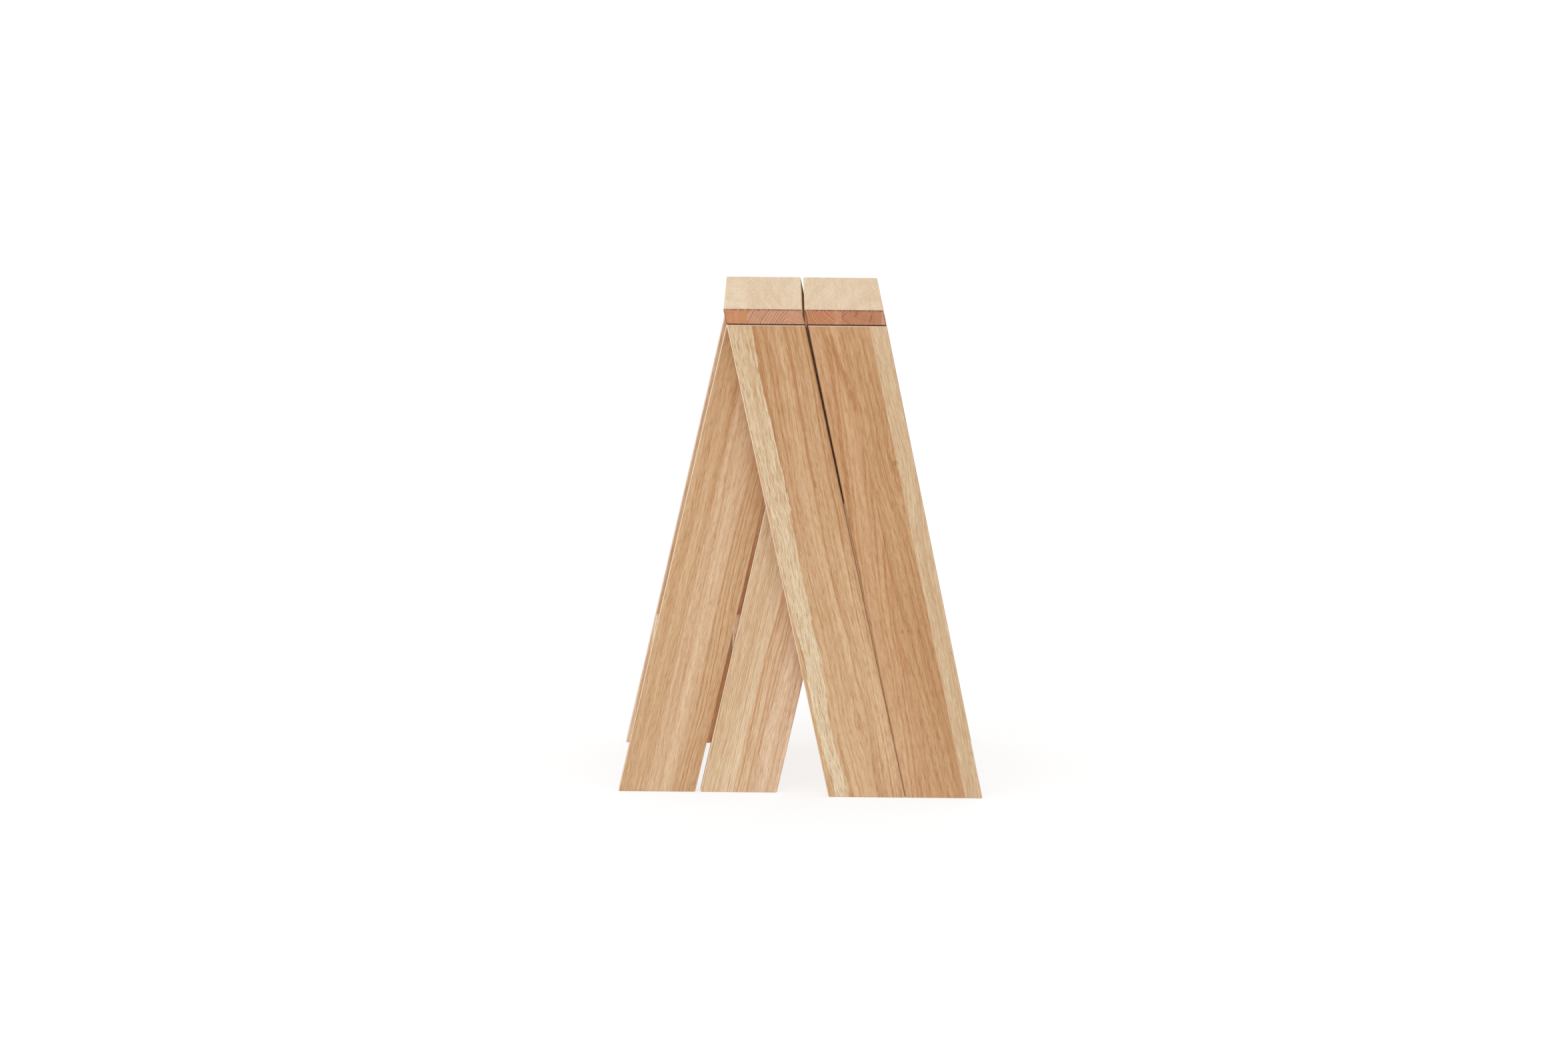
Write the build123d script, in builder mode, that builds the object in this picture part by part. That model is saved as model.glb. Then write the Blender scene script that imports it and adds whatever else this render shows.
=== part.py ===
from build123d import *
from dataclasses import dataclass
import math
import os

# A pair of solid oak A-frame trestles (sawhorses), nested side by side as they are stored.
#
# Each trestle is a short beam laid flat, four leg boards and one low rail. At each end of the
# beam two boards cross like an A: the outer board leans to +X on its way down and the inner
# board, one layer further in, leans to -X. The layers let a second trestle slide in beside the
# first, its inner legs passing behind the first one's outer legs. The rail joins the two inner
# legs, so it never stands in the way of the neighbour. Blind glued dowels hold the boards.
#
# Frame: +X across the beams, +Y along them (the near end is at -Y), +Z up. The origin is on the
# floor, in the middle of the nested pair.

# Driving dimensions, in millimetres and degrees
HEIGHT = 750.0
BEAM_LENGTH = 400.0
BOARD_WIDTH = 115.0
BOARD_THICKNESS = 24.0
SPLAY = {"left": 12.5, "right": 12.22}  # the right trestle's legs stand a little closer
LAYER_CLEARANCE = 1.0  # between an outer and an inner leg, so that neighbours slide past
NEST_GAP = 3.9  # between the two beams when nested
RAIL_TOP = 212.0
RAIL_INSET = 1.5  # from each long edge of the inner legs
EASED_EDGE = 1.2  # chamfer on every edge of every board

DOWEL_RADIUS = 5.0
GLUE_FILM = 0.05  # radial room in a bore
GLUE_POCKET = 1.0  # depth left free past each end of a dowel
DOWEL_SPACING = 56.0
DOWEL_EASE = 1.0  # chamfer on a dowel's ends
BEAM_DEPTH = 16.0  # how far a leg dowel reaches up into the beam
LEG_END_DEPTH = 24.0  # and down into the leg
RAIL_DEPTH = 26.0  # how far a rail dowel reaches into the rail
LEG_FACE_DEPTH = 14.0  # how far any dowel reaches into the face of a leg
LAP_DROP = 90.0  # from the beam's underside to the middle of the lap dowels

# Worked out from them
BEAM_BOTTOM = HEIGHT - BOARD_THICKNESS
LAYER_STEP = BOARD_THICKNESS + LAYER_CLEARANCE
RAIL_END = LAYER_STEP + BOARD_THICKNESS  # depth of the inner legs' inward faces

TO_RIGHT = 1
TO_LEFT = -1
ENDS = {"near": -1, "far": 1}
LAYER_DEPTH = {"outer": 0.0, "inner": LAYER_STEP}
LAYER_WAY = {"outer": TO_RIGHT, "inner": TO_LEFT}


@dataclass
class Trestle:
    """One trestle: how far its legs lean, and where its middle is, at the beam's underside."""

    name: str
    splay: float
    centre: float = 0.0

    def lean(self):
        """Sideways run of a leg for each unit of drop."""
        return math.tan(math.radians(self.splay))

    def half_width(self):
        """Half of a leaning board's width, measured level instead of square across it."""
        return BOARD_WIDTH / math.cos(math.radians(self.splay)) / 2

    def reach(self):
        """From the middle of the trestle to the far side of either foot."""
        return self.half_width() + self.lean() * BEAM_BOTTOM

    def middle(self, way, height):
        """X of the middle of a board that leans one way, at a height."""
        return self.centre + way * self.lean() * (BEAM_BOTTOM - height)

    def outline(self, way, low, high, inset=0.0):
        """Corners, in X and Z, of a leaning board's side view between two heights."""
        half = self.half_width() - inset
        return [
            (self.middle(way, high) - half, high),
            (self.middle(way, high) + half, high),
            (self.middle(way, low) + half, low),
            (self.middle(way, low) - half, low),
        ]


def nested_pair():
    """The two trestles, a gap apart, with the origin midway between their outermost feet."""
    left = Trestle("left", SPLAY["left"])
    right = Trestle("right", SPLAY["right"])
    pitch = left.half_width() + NEST_GAP + right.half_width()
    left.centre = (left.reach() - right.reach() - pitch) / 2
    right.centre = left.centre + pitch
    return [left, right]


def inward(end, depth):
    """Y of a point that lies at a depth inside one end of the beam."""
    return ENDS[end] * (BEAM_LENGTH / 2 - depth)


def beam_joint(trestle, end, layer):
    """Plane between the beam and a leg, facing up, with its X along the row of dowels."""
    depth = LAYER_DEPTH[layer] + BOARD_THICKNESS / 2
    origin = (trestle.centre, inward(end, depth), BEAM_BOTTOM)
    return Plane(origin=origin, x_dir=(1, 0, 0), z_dir=(0, 0, 1))


def lap_joint(trestle, end, depth):
    """Plane across the lap of two crossing legs, facing out of the end, with its X upright."""
    origin = (trestle.centre, inward(end, depth), BEAM_BOTTOM - LAP_DROP)
    return Plane(origin=origin, x_dir=(0, 0, 1), z_dir=(0, ENDS[end], 0))


def rail_joint(trestle, end):
    """Plane between the rail and an inner leg, facing out of the end, with its X level."""
    height = RAIL_TOP - BOARD_THICKNESS / 2
    origin = (trestle.middle(TO_LEFT, height), inward(end, RAIL_END), height)
    return Plane(origin=origin, x_dir=(1, 0, 0), z_dir=(0, ENDS[end], 0))


def drill(face, depth):
    """Cut a row of two blind bores into the board behind a face."""
    with Locations(face):
        with GridLocations(DOWEL_SPACING, 0, 2, 1):
            Hole(DOWEL_RADIUS + GLUE_FILM, depth + GLUE_POCKET)


def make_beam(trestle):
    """The flat top board, with its sides sloped like the legs that lean to +X."""
    with BuildPart() as beam:
        with BuildSketch(Plane.XZ):
            with BuildLine():
                Polyline(*trestle.outline(TO_RIGHT, BEAM_BOTTOM, HEIGHT), close=True)
            make_face()
        extrude(amount=BEAM_LENGTH / 2, both=True)
        chamfer(beam.edges(), length=EASED_EDGE)
        for end in ENDS:
            for layer in LAYER_DEPTH:
                drill(-beam_joint(trestle, end, layer), BEAM_DEPTH)
    return beam


def make_leg(trestle, end, layer):
    """A leaning board, cut level at the floor and under the beam."""
    middle = inward(end, LAYER_DEPTH[layer] + BOARD_THICKNESS / 2)
    with BuildPart() as leg:
        with BuildSketch(Plane.XZ.offset(-middle)):
            with BuildLine():
                Polyline(*trestle.outline(LAYER_WAY[layer], 0.0, BEAM_BOTTOM), close=True)
            make_face()
        extrude(amount=BOARD_THICKNESS / 2, both=True)
        chamfer(leg.edges(), length=EASED_EDGE)
        drill(beam_joint(trestle, end, layer), LEG_END_DEPTH)
        if layer == "outer":
            drill(-lap_joint(trestle, end, BOARD_THICKNESS), LEG_FACE_DEPTH)
        else:
            drill(lap_joint(trestle, end, LAYER_STEP), LEG_FACE_DEPTH)
            drill(-rail_joint(trestle, end), LEG_FACE_DEPTH)
    return leg


def make_rail(trestle):
    """The low board between the two inner legs, its sides sloped like theirs."""
    outline = trestle.outline(TO_LEFT, RAIL_TOP - BOARD_THICKNESS, RAIL_TOP, RAIL_INSET)
    with BuildPart() as rail:
        with BuildSketch(Plane.XZ):
            with BuildLine():
                Polyline(*outline, close=True)
            make_face()
        extrude(amount=BEAM_LENGTH / 2 - RAIL_END, both=True)
        chamfer(rail.edges(), length=EASED_EDGE)
        for end in ENDS:
            drill(rail_joint(trestle, end), RAIL_DEPTH)
    return rail


def make_dowels(joint, ahead, behind):
    """Two dowels through a joint's plane, reaching ahead of it and behind it."""
    with BuildPart() as dowels:
        with BuildSketch(joint.offset(-behind)):
            with GridLocations(DOWEL_SPACING, 0, 2, 1):
                Circle(DOWEL_RADIUS)
        extrude(amount=ahead + behind)
        chamfer(dowels.edges().filter_by(GeomType.CIRCLE), length=DOWEL_EASE)
    return dowels


def save(piece, name):
    """Label a finished piece and write it to its own file."""
    piece.part.label = name
    export_step(piece.part, f"parts/{name}.step")


def save_end(trestle, end):
    """The two crossing legs at one end of a trestle, and the dowels of their joints."""
    place = f"{trestle.name}_{end}"
    for layer in LAYER_DEPTH:
        save(make_leg(trestle, end, layer), f"{place}_{layer}_leg")
        leg_dowels = make_dowels(beam_joint(trestle, end, layer), BEAM_DEPTH, LEG_END_DEPTH)
        save(leg_dowels, f"{place}_{layer}_leg_dowels")
    lap = lap_joint(trestle, end, BOARD_THICKNESS)
    save(make_dowels(lap, LEG_FACE_DEPTH, LAYER_CLEARANCE + LEG_FACE_DEPTH), f"{place}_lap_dowels")
    save(make_dowels(rail_joint(trestle, end), LEG_FACE_DEPTH, RAIL_DEPTH), f"{place}_rail_dowels")


os.makedirs("parts", exist_ok=True)
for trestle in nested_pair():
    save(make_beam(trestle), f"{trestle.name}_beam")
    save(make_rail(trestle), f"{trestle.name}_rail")
    for end in ENDS:
        save_end(trestle, end)
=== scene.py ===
import math
from dataclasses import dataclass, field, replace

import bpy
from mathutils import Matrix, Vector


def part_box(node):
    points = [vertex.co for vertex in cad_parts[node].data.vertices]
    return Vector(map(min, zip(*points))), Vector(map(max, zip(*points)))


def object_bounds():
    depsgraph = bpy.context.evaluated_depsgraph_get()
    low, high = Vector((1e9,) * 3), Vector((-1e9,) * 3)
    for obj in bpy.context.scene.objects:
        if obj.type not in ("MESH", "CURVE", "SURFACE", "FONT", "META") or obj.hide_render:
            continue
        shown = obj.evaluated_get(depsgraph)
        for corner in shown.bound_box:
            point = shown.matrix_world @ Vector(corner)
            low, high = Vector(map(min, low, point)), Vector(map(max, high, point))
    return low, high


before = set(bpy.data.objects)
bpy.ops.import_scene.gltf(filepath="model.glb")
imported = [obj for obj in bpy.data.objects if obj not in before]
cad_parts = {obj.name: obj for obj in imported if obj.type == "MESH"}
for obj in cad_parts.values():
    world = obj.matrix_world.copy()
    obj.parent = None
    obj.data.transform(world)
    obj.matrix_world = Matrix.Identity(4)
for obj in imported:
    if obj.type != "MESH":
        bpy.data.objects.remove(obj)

CAD_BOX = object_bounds()

# --------------------------------------------------------------------------------------------
# Node building


class Graph:
    """Short ways to add nodes to one node tree. Every call gives back an output socket."""

    def __init__(self, tree):
        self.tree = tree

    def node(self, kind, **settings):
        made = self.tree.nodes.new(kind)
        for name, value in settings.items():
            setattr(made, name, value)
        return made

    def put(self, socket, value):
        """Link a socket to an input, or set the input to a number, vector or colour."""
        if isinstance(value, bpy.types.NodeSocket):
            self.tree.links.new(value, socket)
        elif socket.type == "RGBA":
            socket.default_value = (*value[:3], 1.0)
        else:
            socket.default_value = value

    def math(self, operation, first, second=0.0, third=0.0, clamp=False):
        made = self.node("ShaderNodeMath", operation=operation, use_clamp=clamp)
        for socket, value in zip(made.inputs, (first, second, third)):
            self.put(socket, value)
        return made.outputs[0]

    def vector(self, operation, first, second=(0.0, 0.0, 0.0)):
        made = self.node("ShaderNodeVectorMath", operation=operation)
        self.put(made.inputs[0], first)
        if operation == "SCALE":
            self.put(made.inputs["Scale"], second)
        else:
            self.put(made.inputs[1], second)
        return made.outputs["Value" if operation in ("DOT_PRODUCT", "LENGTH") else "Vector"]

    def join(self, x, y, z):
        made = self.node("ShaderNodeCombineXYZ")
        for socket, value in zip(made.inputs, (x, y, z)):
            self.put(socket, value)
        return made.outputs[0]

    def split(self, vector):
        made = self.node("ShaderNodeSeparateXYZ")
        self.put(made.inputs[0], vector)
        return made.outputs

    def noise(self, vector, scale=1.0, detail=2.0, roughness=0.5):
        """Noise of a vector: its value and its three-way colour."""
        made = self.node("ShaderNodeTexNoise")
        settings = {"Vector": vector, "Scale": scale, "Detail": detail, "Roughness": roughness}
        for name, value in settings.items():
            self.put(made.inputs[name], value)
        return made.outputs[0], made.outputs[1]

    def step(self, value, low, high):
        """0 below low, 1 above high, and smooth between. High may be the smaller of the two."""
        made = self.node("ShaderNodeMapRange", interpolation_type="SMOOTHSTEP")
        for name, setting in (("Value", value), ("From Min", low), ("From Max", high)):
            self.put(made.inputs[name], setting)
        return made.outputs[0]

    def blend(self, factor, first, second, how="MIX"):
        """Mix two colours."""
        made = self.node("ShaderNodeMix", data_type="RGBA", blend_type=how)
        self.put(made.inputs[0], factor)
        self.put(made.inputs[6], first)
        self.put(made.inputs[7], second)
        return made.outputs[2]

    def choose(self, factor, first, second):
        """Mix two vectors, whose numbers may be negative."""
        made = self.node("ShaderNodeMix", data_type="VECTOR")
        self.put(made.inputs[0], factor)
        self.put(made.inputs[4], first)
        self.put(made.inputs[5], second)
        return made.outputs[1]


# --------------------------------------------------------------------------------------------
# Oak: its colours, linear, and the words that describe a board

# Middle tones of the wood
CREAM = (0.665, 0.500, 0.317)
STRAW = (0.605, 0.425, 0.255)
TAN = (0.566, 0.344, 0.180)
HONEY = (0.560, 0.325, 0.165)
CLAY = (0.530, 0.306, 0.149)
SAND = (0.620, 0.400, 0.233)
ROSE = (0.650, 0.430, 0.268)
PALE = (0.660, 0.490, 0.315)
UMBER = (0.570, 0.305, 0.145)
OAT = (0.670, 0.480, 0.298)
WHEAT = (0.655, 0.440, 0.262)
MILK = (0.780, 0.570, 0.370)

# What the middle tone is multiplied by on the long faces: where the wood is lightest and darkest,
# in its pores, at its pale flecks, on the narrow sides (their sawn grain and painted shade), and as
# painted shade on a side close to its neighbour
LIGHTEST = (1.15, 1.28, 1.42, 1.0)
DARKEST = (0.79, 0.655, 0.53, 1.0)
PORE_TONE = (0.76, 0.63, 0.51, 1.0)
FLECK_TONE = (1.07, 1.11, 1.15, 1.0)
SIDE_GRAIN_AND_SHADE_TONE = (0.92, 0.84, 0.78, 1.0)
SIDE_SHADE_TONE = (0.50, 0.24, 0.15, 1.0)

# What the end grain's own tone is multiplied by: between the rings, in them, at rays and in pores
END_LIGHTEST = (1.04, 1.06, 1.07, 1.0)
END_RING_TONE = (0.44, 0.20, 0.17, 1.0)
END_RAY_TONE = (1.12, 1.30, 1.42, 1.0)
END_PORE_TONE = (0.55, 0.40, 0.36, 1.0)

BEECH = (0.62, 0.42, 0.27)
BEECH_FLECK = (0.48, 0.29, 0.17)

# Colours that take the wood's place
# Sanded edges, and mostly a painted highlight on edges facing the light
PALE_EDGE_AND_HIGHLIGHT = (0.86, 0.72, 0.56)
CHECK_COLOUR = (0.16, 0.07, 0.045)
FRAYED_COLOUR = (0.15, 0.055, 0.040)
# Painted shadow in the groove under a beam, where it meets the legs
GROOVE_SHADOW_COLOUR = (0.07, 0.016, 0.010)

# Metres
# The dark line is painted shadow in the groove
GROOVE = 0.0020  # height of the dark line under a beam, where it meets the legs
FRAYED = 0.0030  # how far the broken fibres of a beam's end reach in from its upper and lower edges

SEAM_SLANT = 0.15  # how far a leaning seam moves across for each metre through the board


@dataclass
class Stave:
    """One strip of an edge-glued board.

    share is its part of the board's width; colour is the middle tone of its wood; pith is where
    the heart of its tree lies, across and through the board from the board's middle, in metres;
    drift is how far the heart moves across and through for each metre along; ring is the width
    of a year's growth, in metres; lines says how plainly the years show on the faces, and dashes
    how plainly the open pores do. On the end grain, end is the colour, years how dark the rings
    are and checks how plain the small drying cracks. lean is how far the seam before it moves
    across for each metre along, and fade how much paler the stave gets for each metre along.
    """

    share: float
    colour: tuple
    pith: tuple = (-0.09, -0.08)
    drift: tuple = (0.0, 0.02)
    ring: float = 0.005
    lines: float = 0.35
    dashes: float = 0.65
    end: tuple = (0.53, 0.26, 0.15)
    years: float = 0.6
    checks: float = 0.0
    lean: float = 0.0
    fade: float = 0.0


@dataclass
class Knot:
    """A knot: where it lies along and across the board, its reach, and how dark its eye is."""

    along: float
    across: float
    reach: float = 0.012
    eye: float = 0.5


@dataclass
class Mark:
    """A line or soft streak along the grain, dark or, where dark is below zero, pale.

    It runs from start to stop along the board, lies at across where it starts, and has moved over
    by shift where it stops. half is half its width.
    """

    start: float
    stop: float
    across: float
    shift: float
    half: float
    dark: float


@dataclass
class Board:
    """How one board looks: its staves from one edge to the other, and its figure.

    seam_wander is how far its seams wander, in metres; contrast says how far its figure strays
    from the middle tones; dark_ends says how dark the broken edges of its end grain are.
    shaded_side is the long side that lies close to its neighbour and is given painted shade, with no
    painted highlight on its edges: 1 or -1 is the side towards which across grows or shrinks, and 0 is
    none.
    """

    staves: list
    seed: float
    seam_wander: float = 0.0
    contrast: float = 1.0
    knots: list = field(default_factory=list)
    marks: list = field(default_factory=list)
    dark_ends: float = 0.0
    shaded_side: int = 0


def figure_group():
    """The figure of oak: growth rings about a heart, fibres, pores and rays, as one node group.

    Where is along, across and through the board, in metres. Heart and Drift are a stave's, and
    Ring its ring width. Shift moves every random texture, so that no two staves are alike, and
    Swell pushes the rings out round a knot.
    """
    tree = bpy.data.node_groups.new("oak_figure", "ShaderNodeTree")
    for name in ("Where", "Heart", "Drift"):
        tree.interface.new_socket(name, in_out="INPUT", socket_type="NodeSocketVector")
    for name in ("Ring", "Shift", "Swell"):
        tree.interface.new_socket(name, in_out="INPUT", socket_type="NodeSocketFloat")
    for name in ("Early", "Year", "Band", "Broad", "Streak", "Fibre", "Pore", "Fleck", "Ray", "Check"):
        tree.interface.new_socket(name, in_out="OUTPUT", socket_type="NodeSocketFloat")
    g = Graph(tree)
    given = g.node("NodeGroupInput").outputs
    where = given["Where"]
    shift = given["Shift"]
    away = g.join(g.math("MULTIPLY", shift, 3.7), g.math("MULTIPLY", shift, 1.3), shift)
    moved = g.vector("ADD", where, away)

    # The grain wanders: slowly over a hand's width, and a little over a finger's
    slow = g.noise(g.vector("MULTIPLY", moved, (2.2, 9.0, 9.0)), detail=2.0)[1]
    quick = g.noise(g.vector("MULTIPLY", moved, (13.0, 40.0, 40.0)), detail=2.0)[1]
    slow = g.vector("MULTIPLY", g.vector("SUBTRACT", slow, (0.5, 0.5, 0.5)), (0.0, 0.024, 0.024))
    quick = g.vector("MULTIPLY", g.vector("SUBTRACT", quick, (0.5, 0.5, 0.5)), (0.0, 0.0045, 0.0045))
    wander = g.vector("ADD", g.vector("ADD", slow, quick), g.join(0.0, given["Swell"], 0.0))
    bent = g.vector("ADD", moved, wander)

    def stretched(along, across, detail, roughness=0.5):
        """Noise much longer than it is wide, given as cells for each metre."""
        scaled = g.vector("MULTIPLY", bent, (along, across, across))
        return g.noise(scaled, detail=detail, roughness=roughness)[0]

    # Distance from the heart, and the ring that a point lies in
    run = g.split(where)[0]
    line = g.vector("ADD", given["Heart"], g.vector("SCALE", given["Drift"], run))
    _, across, through = g.split(g.vector("ADD", g.vector("SUBTRACT", where, line), wander))
    radius = g.vector("LENGTH", g.join(across, through, 0.0))
    uneven = g.noise(g.join(g.math("MULTIPLY", radius, 130.0), shift, 0.0), detail=2.0)[0]
    years = g.math("ADD", g.math("DIVIDE", radius, given["Ring"]), g.math("MULTIPLY", uneven, 1.8))
    phase = g.math("FRACT", years)
    year = g.node("ShaderNodeTexWhiteNoise", noise_dimensions="1D")
    g.put(year.inputs["W"], g.math("ADD", g.math("FLOOR", years), shift))
    early = g.math("MULTIPLY", g.step(phase, 0.0, 0.14), g.step(phase, 0.62, 0.16))
    out_and_along = g.join(g.math("MULTIPLY", radius, 75.0), g.math("MULTIPLY", run, 1.6), shift)
    band = g.noise(out_and_along, detail=2.0)[0]

    # Pores: long thin vessels, seen as dashes along the grain and as dots across it
    vessels = g.math("MULTIPLY_ADD", early, 0.035, stretched(60.0, 1250.0, 1.0))
    pore = g.step(vessels, 0.56, 0.64)
    fleck = g.step(stretched(80.0, 900.0, 1.0), 0.58, 0.68)

    # Rays: thin sheets that run out from the heart, and the cracks that open along a few of them
    turn = g.math("ARCTAN2", through, across)
    fan = g.join(g.math("MULTIPLY", turn, 95.0), g.math("MULTIPLY", radius, 14.0), shift)
    ray = g.step(g.noise(fan, detail=1.0)[0], 0.56, 0.70)
    wide_fan = g.join(g.math("MULTIPLY", turn, 9.0), g.math("MULTIPLY", radius, 9.0), shift)
    crack = g.math("ABSOLUTE", g.math("SUBTRACT", g.noise(wide_fan, detail=1.0)[0], 0.5))
    check = g.step(crack, 0.020, 0.006)

    out = g.node("NodeGroupOutput").inputs
    results = {
        "Early": early,
        "Year": year.outputs["Value"],
        "Band": band,
        "Broad": stretched(1.3, 34.0, 1.0),
        "Streak": stretched(3.6, 150.0, 1.0),
        "Fibre": stretched(34.0, 1050.0, 2.0, 0.6),
        "Pore": pore,
        "Fleck": fleck,
        "Ray": ray,
        "Check": check,
    }
    for name, value in results.items():
        g.put(out[name], value)
    return tree


FIGURE = figure_group()


@dataclass
class Axes:
    """A board's own directions at rest: its middle, along, across and through, and its size."""

    middle: Vector
    along: Vector
    across: Vector
    through: Vector
    width: float
    depth: float


def lean_of(trestle):
    """Sideways run of a leg for each unit of drop, from how much wider its box is than the beam's."""
    beam_low, beam_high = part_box(f"{trestle}_beam")
    leg_low, leg_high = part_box(f"{trestle}_near_outer_leg")
    beam, leg = beam_high - beam_low, leg_high - leg_low
    return (leg.x - beam.x) / (leg.z - beam.z)


def leg_axes(node, trestle, way):
    """Axes of a leaning leg, along it downwards. Way is 1 where its foot is to +X of its top."""
    low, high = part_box(node)
    angle = math.atan(lean_of(trestle))
    along = Vector((way * math.sin(angle), 0.0, -math.cos(angle)))
    across = Vector((math.cos(angle), 0.0, way * math.sin(angle)))
    width = (high.x - low.x - (high.z - low.z) * math.tan(angle)) * math.cos(angle)
    return Axes((low + high) / 2, along, across, Vector((0.0, -1.0, 0.0)), width, high.y - low.y)


def flat_axes(node):
    """Axes of a level board, along it away from the near end."""
    low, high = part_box(node)
    size = high - low
    y, x, z = Vector((0.0, 1.0, 0.0)), Vector((1.0, 0.0, 0.0)), Vector((0.0, 0.0, 1.0))
    return Axes((low + high) / 2, y, x, z, size.x, size.z)


def stave_traits(stave, number, seed):
    """What the shader needs to know of a stave, as vectors."""
    return (
        stave.colour,
        (0.0, *stave.pith),
        (0.0, *stave.drift),
        (stave.ring, seed + 2.3 * number, 0.0),
        (stave.lines, stave.dashes, stave.fade),
        stave.end,
        (stave.years, stave.checks, 0.0),
    )


def pick_stave(g, where, board, axes):
    """The traits of the stave that a place lies in.

    A seam is a straight glue line square to the face, unless the board's seams wander as the edge
    of the sapwood does. A seam that leans also slants through the board, back from its upper face.
    """
    along, across, through = g.split(where)
    sunk = g.math("SUBTRACT", through, axes.depth / 2)
    if board.seam_wander:
        slow = g.join(g.math("MULTIPLY", along, 8.0), board.seed, 0.0)
        fine = g.join(g.math("MULTIPLY", along, 16.0), g.math("MULTIPLY", across, 330.0), board.seed)
        path = g.math("SUBTRACT", g.noise(slow, detail=3.0, roughness=0.6)[0], 0.5)
        comb = g.math("MULTIPLY", g.math("SUBTRACT", g.noise(fine)[0], 0.5), 0.5)
        across = g.math("MULTIPLY_ADD", g.math("ADD", path, comb), board.seam_wander, across)
    seam = -axes.width / 2
    traits = stave_traits(board.staves[0], 0, board.seed)
    for number, stave in enumerate(board.staves[1:], start=1):
        seam += board.staves[number - 1].share * axes.width
        line = g.math("MULTIPLY_ADD", along, stave.lean, seam)
        if stave.lean:
            line = g.math("MULTIPLY_ADD", sunk, SEAM_SLANT, line)
        past = g.math("GREATER_THAN", across, line)
        there = stave_traits(stave, number, board.seed)
        traits = [g.choose(past, here, new) for here, new in zip(traits, there)]
    return traits


def knot_marks(g, where, knots):
    """How far the grain bends round the knots, in metres, and how dark their eyes are."""
    swell, eyes = 0.0, 0.0
    for knot in knots:
        offset = g.vector("SUBTRACT", where, (knot.along, knot.across, 0.0))
        squeezed = g.vector("MULTIPLY", offset, (0.35 / knot.reach, 1.0 / knot.reach, 0.2 / knot.reach))
        bulge = g.math("EXPONENT", g.math("MULTIPLY", g.vector("DOT_PRODUCT", squeezed, squeezed), -1.0))
        side = g.math("DIVIDE", g.split(offset)[1], -knot.reach)
        swell = g.math("MULTIPLY_ADD", g.math("MULTIPLY", bulge, side), knot.reach * 0.9, swell)
        oval = g.vector("MULTIPLY", offset, (0.6 / knot.reach, 1.0 / knot.reach, 0.0))
        eye = g.step(g.vector("LENGTH", oval), 0.30, 0.12)
        eyes = g.math("MULTIPLY_ADD", eye, knot.eye, eyes)
    return swell, eyes


def mark_lines(g, along, across, board):
    """How dark the board's marks are at a place. They waver and break off here and there."""
    waver = g.noise(g.join(g.math("MULTIPLY", along, 24.0), board.seed, 0.0), detail=2.0)[0]
    patches = g.join(g.math("MULTIPLY", along, 70.0), g.math("MULTIPLY", across, 260.0), board.seed)
    whole = g.step(g.noise(patches)[0], 0.30, 0.50)
    dark = 0.0
    for mark in board.marks:
        share = g.math("DIVIDE", g.math("SUBTRACT", along, mark.start), mark.stop - mark.start)
        middle = g.math("MULTIPLY_ADD", share, mark.shift, mark.across)
        middle = g.math("MULTIPLY_ADD", g.math("SUBTRACT", waver, 0.5), 0.006, middle)
        off = g.math("ABSOLUTE", g.math("SUBTRACT", across, middle))
        within = g.math("MULTIPLY", g.step(share, 0.0, 0.12), g.step(share, 1.0, 0.80))
        line = g.math("MULTIPLY", g.math("MULTIPLY", g.step(off, mark.half, 0.0), within), whole)
        dark = g.math("MULTIPLY_ADD", line, mark.dark, dark)
    return dark


def tinted(g, colour, tint):
    """A colour multiplied by a tint."""
    return g.blend(1.0, colour, tint, "MULTIPLY")


def ring_darkness(g, early, year, plain):
    """How dark the years' rings are: some years more than others."""
    some = g.math("MULTIPLY_ADD", year, 0.8, 0.2)
    return g.math("MULTIPLY", g.math("MULTIPLY", early, some), plain)


def face_wood(g, along, colour, seen, traits, board, extra):
    """Colour of the long faces, where fibres, pores and years run along the board."""
    lines, dashes, fade = traits
    dark = ring_darkness(g, seen["Early"], seen["Year"], lines)
    for name, weight in (("Band", 1.0), ("Broad", 0.65), ("Streak", 0.75), ("Fibre", 1.6)):
        dark = g.math("MULTIPLY_ADD", g.math("SUBTRACT", seen[name], 0.5), weight, dark)
    dark = g.math("MULTIPLY_ADD", dark, board.contrast, 0.44)
    dark = g.math("SUBTRACT", dark, g.math("MULTIPLY", along, fade))
    dark = g.math("ADD", dark, extra, clamp=True)
    wood = g.blend(dark, tinted(g, colour, LIGHTEST), tinted(g, colour, DARKEST))
    wood = g.blend(g.math("MULTIPLY", seen["Pore"], dashes), wood, tinted(g, wood, PORE_TONE))
    return g.blend(g.math("MULTIPLY", seen["Fleck"], 0.6), wood, tinted(g, wood, FLECK_TONE))


def end_wood(g, ends, seen, traits):
    """Colour of the end grain: redder, with the rings plain to see and the rays paler."""
    years, checks, _ = traits
    rings = ring_darkness(g, g.math("POWER", seen["Early"], 2.5), seen["Year"], years)
    ends = tinted(g, ends, END_LIGHTEST)
    ends = g.blend(rings, ends, tinted(g, ends, END_RING_TONE))
    ends = g.blend(g.math("MULTIPLY", seen["Ray"], 0.55), ends, tinted(g, ends, END_RAY_TONE))
    ends = g.blend(g.math("MULTIPLY", seen["Pore"], 0.45), ends, tinted(g, ends, END_PORE_TONE))
    return g.blend(g.math("MULTIPLY", seen["Check"], checks), ends, CHECK_COLOUR)


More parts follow.
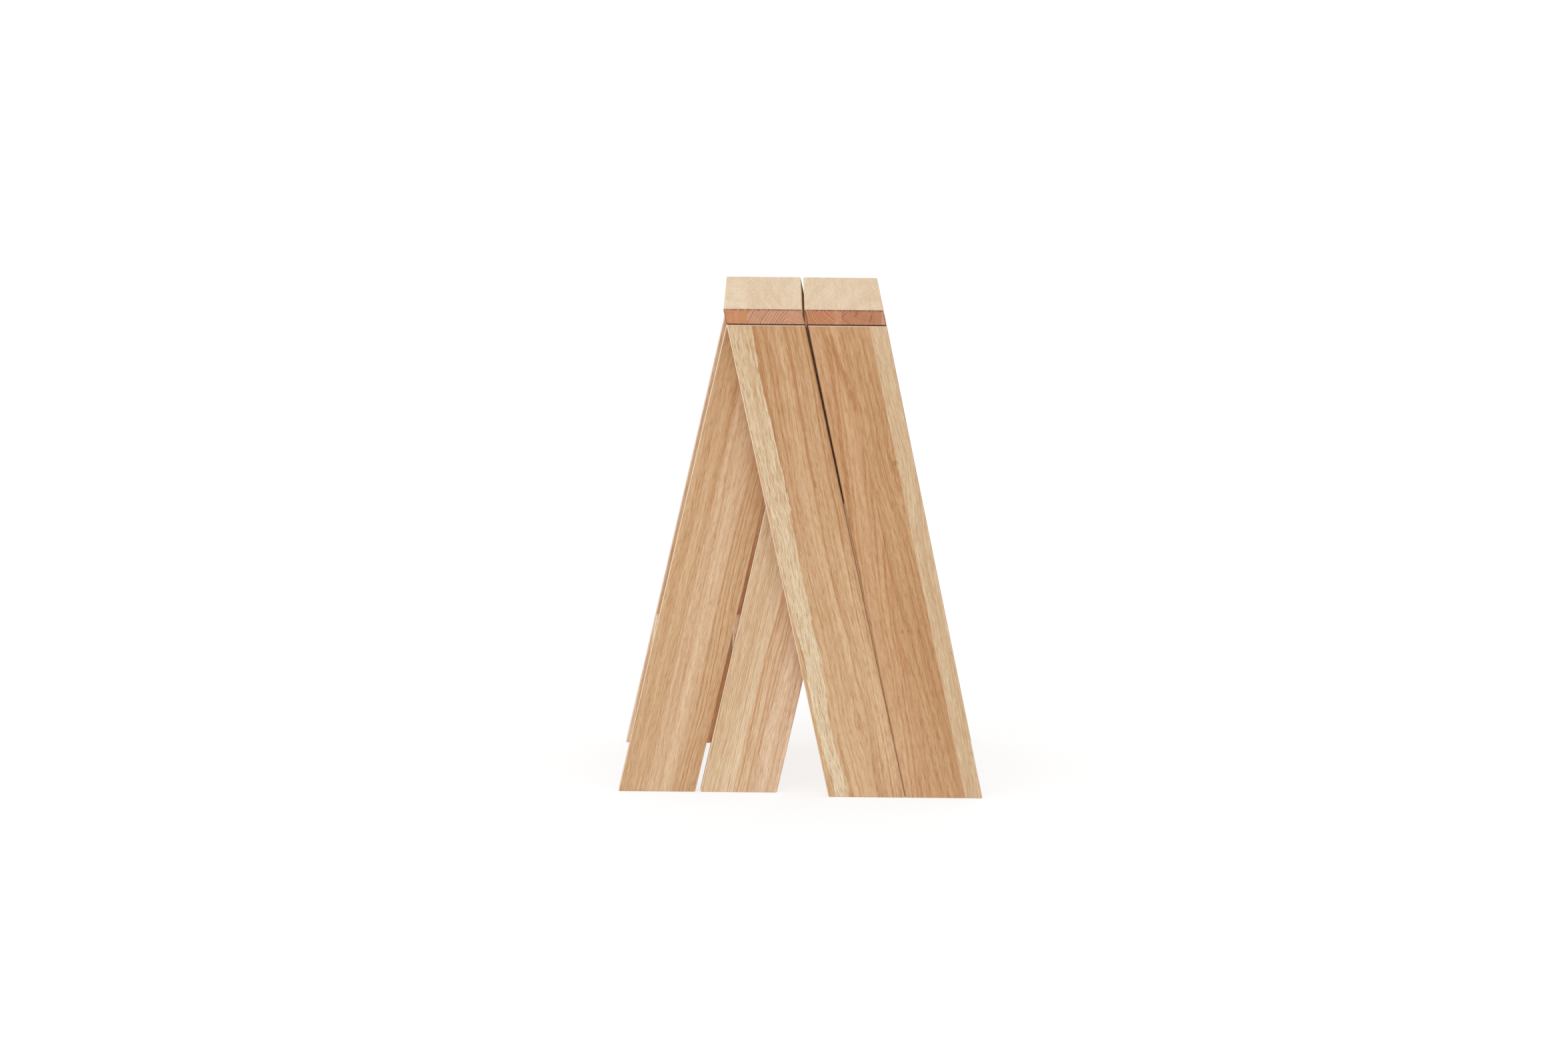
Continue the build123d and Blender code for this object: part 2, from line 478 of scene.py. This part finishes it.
def figure_of(g, where, traits, board):
    """The figure group's outputs for a place, and how dark the knots' eyes are there."""
    heart, drift, growth = traits
    ring, shift, _ = g.split(growth)
    swell, eyes = knot_marks(g, where, board.knots)
    figure = g.node("ShaderNodeGroup")
    figure.node_tree = FIGURE
    given = {"Where": where, "Heart": heart, "Drift": drift, "Ring": ring, "Shift": shift, "Swell": swell}
    for name, value in given.items():
        g.put(figure.inputs[name], value)
    return figure.outputs, eyes


def edge_highlight_and_side_shade(g, wood, colour, edge, facing, normal, board, axes):
    """Paint the eased edges paler: a little all round, as sanded edges are, and much more as a painted
    highlight where they face the upper left and the top; and paint shade on a side close to its neighbour.
    """
    # Painted highlight: edges facing up and to the left, towards the light, are made much paler
    lit = g.step(g.vector("DOT_PRODUCT", normal, (-1.0, 0.0, 0.5)), -0.3, 0.3)
    pale = g.math("MULTIPLY_ADD", lit, 0.6, 0.1)
    if board.dark_ends:
        pale = g.math("MULTIPLY", pale, g.step(facing[0], 0.6, 0.3))
    if not board.shaded_side:
        return g.blend(g.math("MULTIPLY", edge, pale), wood, PALE_EDGE_AND_HIGHLIGHT)
    toward = g.vector("DOT_PRODUCT", normal, tuple(axes.across * board.shaded_side))
    level = g.step(g.split(normal)[2], 0.5, 0.3)
    # No painted highlight on the edges of the side close to its neighbour, which lie in shade
    shaded_edge = g.math("MULTIPLY", g.step(toward, 0.45, 0.65), level)
    pale = g.math("MULTIPLY", pale, g.math("SUBTRACT", 1.0, shaded_edge))
    wood = g.blend(g.math("MULTIPLY", edge, pale), wood, PALE_EDGE_AND_HIGHLIGHT)
    # Painted shade: the side close to its neighbour is darkened
    close = g.math("MULTIPLY", g.step(toward, 0.55, 0.95), level)
    return g.blend(close, wood, tinted(g, colour, SIDE_SHADE_TONE))


def broken_ends_and_groove_shadow(g, wood, edge, end, facing, where, board, axes):
    """Darken the broken fibres round a beam's end grain, and paint shadow into the groove where it meets
    the legs.
    """
    through = g.split(where)[2]
    crumbs = g.noise(g.vector("MULTIPLY", where, (160.0, 800.0, 160.0)), detail=2.0)[0]
    rim = g.math("MULTIPLY", edge, g.step(facing[0], 0.3, 0.6))
    broken = g.math("MULTIPLY", rim, g.step(crumbs, 0.32, 0.50))
    outward = g.math("SUBTRACT", g.math("ABSOLUTE", through), axes.depth / 2 - FRAYED)
    border = g.math("MULTIPLY", end, g.step(outward, 0.0, FRAYED / 2))
    frayed = g.math("MULTIPLY", border, g.step(crumbs, 0.45, 0.58))
    ragged = g.math("MULTIPLY", g.math("MAXIMUM", broken, frayed), board.dark_ends)
    wood = g.blend(ragged, wood, FRAYED_COLOUR)
    # Painted shadow: the groove under a beam, where it meets the legs, is painted dark
    low = g.math("LESS_THAN", through, GROOVE - axes.depth / 2)
    return g.blend(g.math("MULTIPLY", low, g.math("MAXIMUM", edge, end)), wood, GROOVE_SHADOW_COLOUR)


def satin_surface(g, wood, seen, sawn):
    """The shader. Open pores and soft early wood lie a little lower than the rest.

    Sawn is 1 where the saw left the wood rougher, on the narrow sides and the edges.
    """
    height = g.math("MULTIPLY_ADD", seen["Pore"], -0.9, g.math("MULTIPLY", seen["Early"], -0.2))
    height = g.math("MULTIPLY_ADD", seen["Fibre"], 0.6, height)
    bump = g.node("ShaderNodeBump")
    g.put(bump.inputs["Strength"], 0.35)
    g.put(bump.inputs["Distance"], 0.0003)
    g.put(bump.inputs["Height"], height)
    smooth = g.math("MULTIPLY_ADD", seen["Fibre"], 0.22, 0.46)
    shader = g.node("ShaderNodeBsdfPrincipled")
    g.put(shader.inputs["Base Color"], wood)
    g.put(shader.inputs["Roughness"], g.math("MULTIPLY_ADD", sawn, 0.4, smooth, clamp=True))
    g.put(shader.inputs["Specular IOR Level"], 0.25)
    g.put(shader.inputs["Normal"], bump.outputs[0])
    return shader.outputs[0]


def oak(name, axes, board):
    """A satin oiled oak for one board, laid out along the board's own axes."""
    material = bpy.data.materials.new(name)
    material.use_nodes = True
    material.node_tree.nodes.clear()
    g = Graph(material.node_tree)
    coordinates = g.node("ShaderNodeTexCoord")
    offset = g.vector("SUBTRACT", coordinates.outputs["Object"], tuple(axes.middle))
    normal = coordinates.outputs["Normal"]
    directions = [tuple(d) for d in (axes.along, axes.across, axes.through)]
    where = g.join(*(g.vector("DOT_PRODUCT", offset, d) for d in directions))
    facing = [g.math("ABSOLUTE", g.vector("DOT_PRODUCT", normal, d)) for d in directions]
    flattest = g.math("MAXIMUM", g.math("MAXIMUM", facing[0], facing[1]), facing[2])
    end = g.step(facing[0], 0.55, 0.85)
    side = g.step(facing[1], 0.85, 0.95)
    edge = g.step(flattest, 0.95, 0.85)

    colour, heart, drift, growth, face, ends, end_face = pick_stave(g, where, board, axes)
    seen, eyes = figure_of(g, where, (heart, drift, growth), board)
    along, across, _ = g.split(where)
    extra = g.math("ADD", eyes, mark_lines(g, along, across, board))
    wood = face_wood(g, along, colour, seen, g.split(face), board, extra)
    # The narrow sides are darker and redder: partly their sawn grain, partly painted shade
    wood = g.blend(side, wood, tinted(g, wood, SIDE_GRAIN_AND_SHADE_TONE))
    wood = g.blend(end, wood, end_wood(g, ends, seen, g.split(end_face)))
    wood = edge_highlight_and_side_shade(g, wood, colour, edge, facing, normal, board, axes)
    if board.dark_ends:
        wood = broken_ends_and_groove_shadow(g, wood, edge, end, facing, where, board, axes)
    surface = satin_surface(g, wood, seen, g.math("MAXIMUM", side, edge))
    g.put(g.node("ShaderNodeOutputMaterial").inputs["Surface"], surface)
    return material


def dress(node, material):
    """Give a CAD node one material all over."""
    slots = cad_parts[node].data.materials
    slots.clear()
    slots.append(material)


# --------------------------------------------------------------------------------------------
# The boards, each with its own staves


def beam_stave(share, pith, drift, ring, end, years, checks=0.0):
    """A stave of a beam: pale, with faint pores, and with its own end grain."""
    return Stave(share, PALE, pith, drift, ring, dashes=0.3, end=end, years=years, checks=checks)


LEFT_BEAM = Board(
    staves=[
        beam_stave(0.29, (-0.04, -0.30), (0.0, 0.04), 0.0028, end=(0.528, 0.234, 0.107), years=0.35),
        beam_stave(0.49, (0.095, -0.045), (-0.03, 0.10), 0.0040, end=(0.545, 0.278, 0.164), years=1.0),
        beam_stave(0.22, (-0.03, -0.16), (0.0, 0.05), 0.0055, end=(0.52, 0.260, 0.150), years=0.3),
    ],
    seed=3.1,
    contrast=0.55,
    dark_ends=0.85,
)
RIGHT_BEAM = Board(
    staves=[
        beam_stave(0.37, (0.020, 0.050), (0.04, 0.08), 0.0032, end=(0.51, 0.217, 0.106), years=0.9),
        beam_stave(0.08, (-0.09, 0.070), (0.0, 0.05), 0.0024, end=(0.53, 0.255, 0.140), years=0.6),
        beam_stave(0.49, (0.046, 0.075), (0.0, 0.10), 0.0026, (0.468, 0.206, 0.107), years=1.0, checks=0.6),
        beam_stave(0.06, (-0.01, 0.060), (0.0, 0.05), 0.0024, end=(0.54, 0.275, 0.165), years=0.4),
    ],
    seed=8.4,
    contrast=0.55,
    dark_ends=0.85,
)
LEFT_OUTER = Board(
    staves=[
        Stave(0.03, TAN, (-0.30, -0.10)),
        Stave(0.25, CREAM, (-0.30, -0.10), ring=0.006, lines=0.2, dashes=1.1, lean=0.0125),
        Stave(0.72, TAN, (-0.13, -0.07), (-0.03, 0.03), ring=0.0065, lines=0.6, lean=-0.014, fade=0.55),
    ],
    seed=1.7,
    seam_wander=0.020,
    shaded_side=1,
    knots=[Knot(0.262, 0.011, reach=0.016, eye=0.0)],
    marks=[
        Mark(-0.40, -0.06, across=0.026, shift=-0.006, half=0.0045, dark=0.55),
        Mark(-0.06, 0.40, across=0.044, shift=0.004, half=0.016, dark=-0.45),
    ],
)
RIGHT_OUTER = Board(
    staves=[
        Stave(0.40, HONEY, (0.012, -0.045), (0.0, 0.05), ring=0.0060, lines=0.45, dashes=0.7),
        Stave(0.38, CLAY, (-0.07, -0.08), (0.03, 0.03), ring=0.0055, lines=0.35),
        Stave(0.22, STRAW, (0.30, -0.10), ring=0.0045, lines=0.25, dashes=0.5),
    ],
    seed=5.2,
    contrast=0.88,
    shaded_side=-1,
    knots=[
        Knot(0.104, -0.011, reach=0.008, eye=0.9),
        Knot(0.104, -0.002, reach=0.008, eye=0.7),
        Knot(-0.145, 0.030, reach=0.030, eye=0.0),
    ],
    marks=[Mark(-0.37, -0.23, across=-0.031, shift=0.021, half=0.0070, dark=0.60)],
)
LEFT_INNER = Board(
    staves=[
        Stave(0.36, TAN, (-0.20, -0.07), ring=0.0050, lines=0.35, fade=0.25),
        Stave(0.36, SAND, (0.10, -0.09), (0.03, 0.03), ring=0.0060, lines=0.30, fade=0.25),
        Stave(0.28, TAN, (0.25, -0.08), ring=0.0058, lines=0.75, fade=0.25),
    ],
    seed=6.6,
    contrast=0.85,
)
RIGHT_INNER = Board(
    staves=[
        Stave(0.42, OAT, (-0.35, -0.05), ring=0.0030, lines=0.45, dashes=0.4),
        Stave(0.22, WHEAT, (-0.30, -0.05), ring=0.0055, lines=0.80, dashes=0.5),
        Stave(0.36, ROSE, (0.16, -0.08), (0.02, 0.02), ring=0.0055, lines=0.40, fade=0.45),
    ],
    seed=9.3,
    marks=[Mark(0.00, 0.33, across=0.017, shift=-0.002, half=0.0011, dark=1.2)],
)
LEFT_BACK_INNER = Board(
    staves=[
        Stave(0.12, ROSE, (-0.20, -0.08), lines=0.3),
        Stave(0.88, HONEY, (-0.10, -0.08), (0.03, 0.03), lines=0.5),
    ],
    seed=15.8,
)
RIGHT_BACK_INNER = Board(
    staves=[
        Stave(0.26, UMBER, (-0.16, -0.08), lines=0.3, fade=-1.0),
        Stave(0.74, HONEY, (-0.10, -0.08), (0.03, 0.03), lines=0.5),
    ],
    seed=37.1,
)
RAIL = Board(
    staves=[
        Stave(0.36, MILK, (-0.10, -0.08), (0.0, 0.05)),
        Stave(0.30, ROSE, (0.05, -0.12), (0.02, 0.05)),
        Stave(0.34, SAND, (0.09, -0.10), (0.0, 0.04), ring=0.0045),
    ],
    seed=12.5,
)

LOOKS = {
    "left_beam": LEFT_BEAM,
    "right_beam": RIGHT_BEAM,
    "left_near_outer_leg": LEFT_OUTER,
    "right_near_outer_leg": RIGHT_OUTER,
    "left_near_inner_leg": LEFT_INNER,
    "right_near_inner_leg": RIGHT_INNER,
    "left_far_outer_leg": RIGHT_OUTER,
    "right_far_outer_leg": LEFT_OUTER,
    "left_far_inner_leg": LEFT_BACK_INNER,
    "right_far_inner_leg": RIGHT_BACK_INNER,
    "left_rail": RAIL,
    "right_rail": RAIL,
}


def axes_of(node):
    """A board's own directions. Outer legs lean one way and inner legs the other."""
    trestle = node.split("_")[0]
    if node.endswith("outer_leg"):
        return leg_axes(node, trestle, 1)
    if node.endswith("inner_leg"):
        return leg_axes(node, trestle, -1)
    return flat_axes(node)


def dress_boards():
    """Give each board its oak. A look used again has a new seed, and no knots, marks or painted side shade.
    """
    used = []
    for number, (node, board) in enumerate(LOOKS.items()):
        if board in used:
            new_seed = board.seed + 20.0 + number
            board = replace(board, seed=new_seed, knots=[], marks=[], shaded_side=0)
        used.append(board)
        dress(node, oak(f"oak_{node}", axes_of(node), board))


def beech():
    """Turned beech for the dowels: pale, with short fine flecks along the grain."""
    material = bpy.data.materials.new("beech_dowel")
    material.use_nodes = True
    material.node_tree.nodes.clear()
    g = Graph(material.node_tree)
    where = g.node("ShaderNodeTexCoord").outputs["Object"]
    fleck = g.noise(g.vector("MULTIPLY", where, (900.0, 900.0, 160.0)), detail=2.0)[0]
    tone = g.blend(g.step(fleck, 0.35, 0.7), BEECH, BEECH_FLECK)
    shader = g.node("ShaderNodeBsdfPrincipled")
    g.put(shader.inputs["Base Color"], tone)
    g.put(shader.inputs["Roughness"], g.math("MULTIPLY_ADD", fleck, 0.2, 0.5))
    g.put(g.node("ShaderNodeOutputMaterial").inputs["Surface"], shader.outputs[0])
    return material


# --------------------------------------------------------------------------------------------
# Stage, light and camera


def white_sweep():
    """A plain matte white floor, lit from below a little, as a photographer's light table is."""
    material = bpy.data.materials.new("white_sweep")
    material.use_nodes = True
    shader = material.node_tree.nodes["Principled BSDF"]
    shader.inputs["Base Color"].default_value = (0.25, 0.25, 0.25, 1.0)
    shader.inputs["Roughness"].default_value = 0.9
    shader.inputs["Specular IOR Level"].default_value = 0.0
    shader.inputs["Emission Color"].default_value = (1.0, 1.0, 1.0, 1.0)
    shader.inputs["Emission Strength"].default_value = 0.75
    return material


def make_floor():
    """A wide, pale, level floor, just under the feet."""
    reach = 60.0
    corners = [(-reach, -reach, 0.0), (reach, -reach, 0.0), (reach, reach, 0.0), (-reach, reach, 0.0)]
    mesh = bpy.data.meshes.new("floor")
    mesh.from_pydata(corners, [], [(0, 1, 2, 3)])
    floor = bpy.data.objects.new("floor", mesh)
    mesh.materials.append(white_sweep())
    bpy.context.scene.collection.objects.link(floor)


def make_panel(name, place, size, power):
    """A soft square light panel that faces the middle of the object."""
    light = bpy.data.lights.new(name, "AREA")
    light.size = size
    light.energy = power
    panel = bpy.data.objects.new(name, light)
    panel.location = place
    middle = (CAD_BOX[0] + CAD_BOX[1]) / 2
    panel.rotation_euler = (Vector(place) - middle).to_track_quat("Z", "Y").to_euler()
    bpy.context.scene.collection.objects.link(panel)


def make_light():
    """An even white sky, with one soft panel overhead and one in front on the left."""
    world = bpy.data.worlds.new("studio")
    world.use_nodes = True
    background = world.node_tree.nodes["Background"]
    background.inputs["Color"].default_value = (1.0, 1.0, 1.0, 1.0)
    background.inputs["Strength"].default_value = 1.05
    bpy.context.scene.world = world
    make_panel("overhead", place=(-0.7, -0.9, 2.6), size=2.4, power=9.0)
    make_panel("front_left", place=(-2.2, -3.6, 1.7), size=1.8, power=8.0)
    bpy.context.scene.view_settings.view_transform = "Standard"


CAMERA_PLACE = (-0.0486, -6.4392, 1.5596)
CAMERA_DOWN = 10.298  # degrees below level
CAMERA_TURN = -0.181  # degrees to the left of +Y, so a little to its right
CAMERA_ROLL = 0.578  # degrees about its own line of sight
CAMERA_LENS = 96.43  # mm, on a sensor 36 mm wide


def make_camera():
    """The camera: a long lens, a little above the trestles and in front of their near end."""
    data = bpy.data.cameras.new("camera")
    data.lens = CAMERA_LENS
    data.sensor_width = 36.0
    data.clip_end = 200.0
    camera = bpy.data.objects.new("camera", data)
    turn = Matrix.Rotation(math.radians(CAMERA_TURN), 4, "Z")
    tilt = Matrix.Rotation(math.radians(90.0 - CAMERA_DOWN), 4, "X")
    roll = Matrix.Rotation(math.radians(CAMERA_ROLL), 4, "Z")
    camera.matrix_world = Matrix.Translation(CAMERA_PLACE) @ turn @ tilt @ roll
    bpy.context.scene.collection.objects.link(camera)
    bpy.context.scene.camera = camera


dress_boards()
dowel_material = beech()
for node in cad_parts:
    if node.endswith("dowels"):
        dress(node, dowel_material)
make_floor()
make_light()
make_camera()
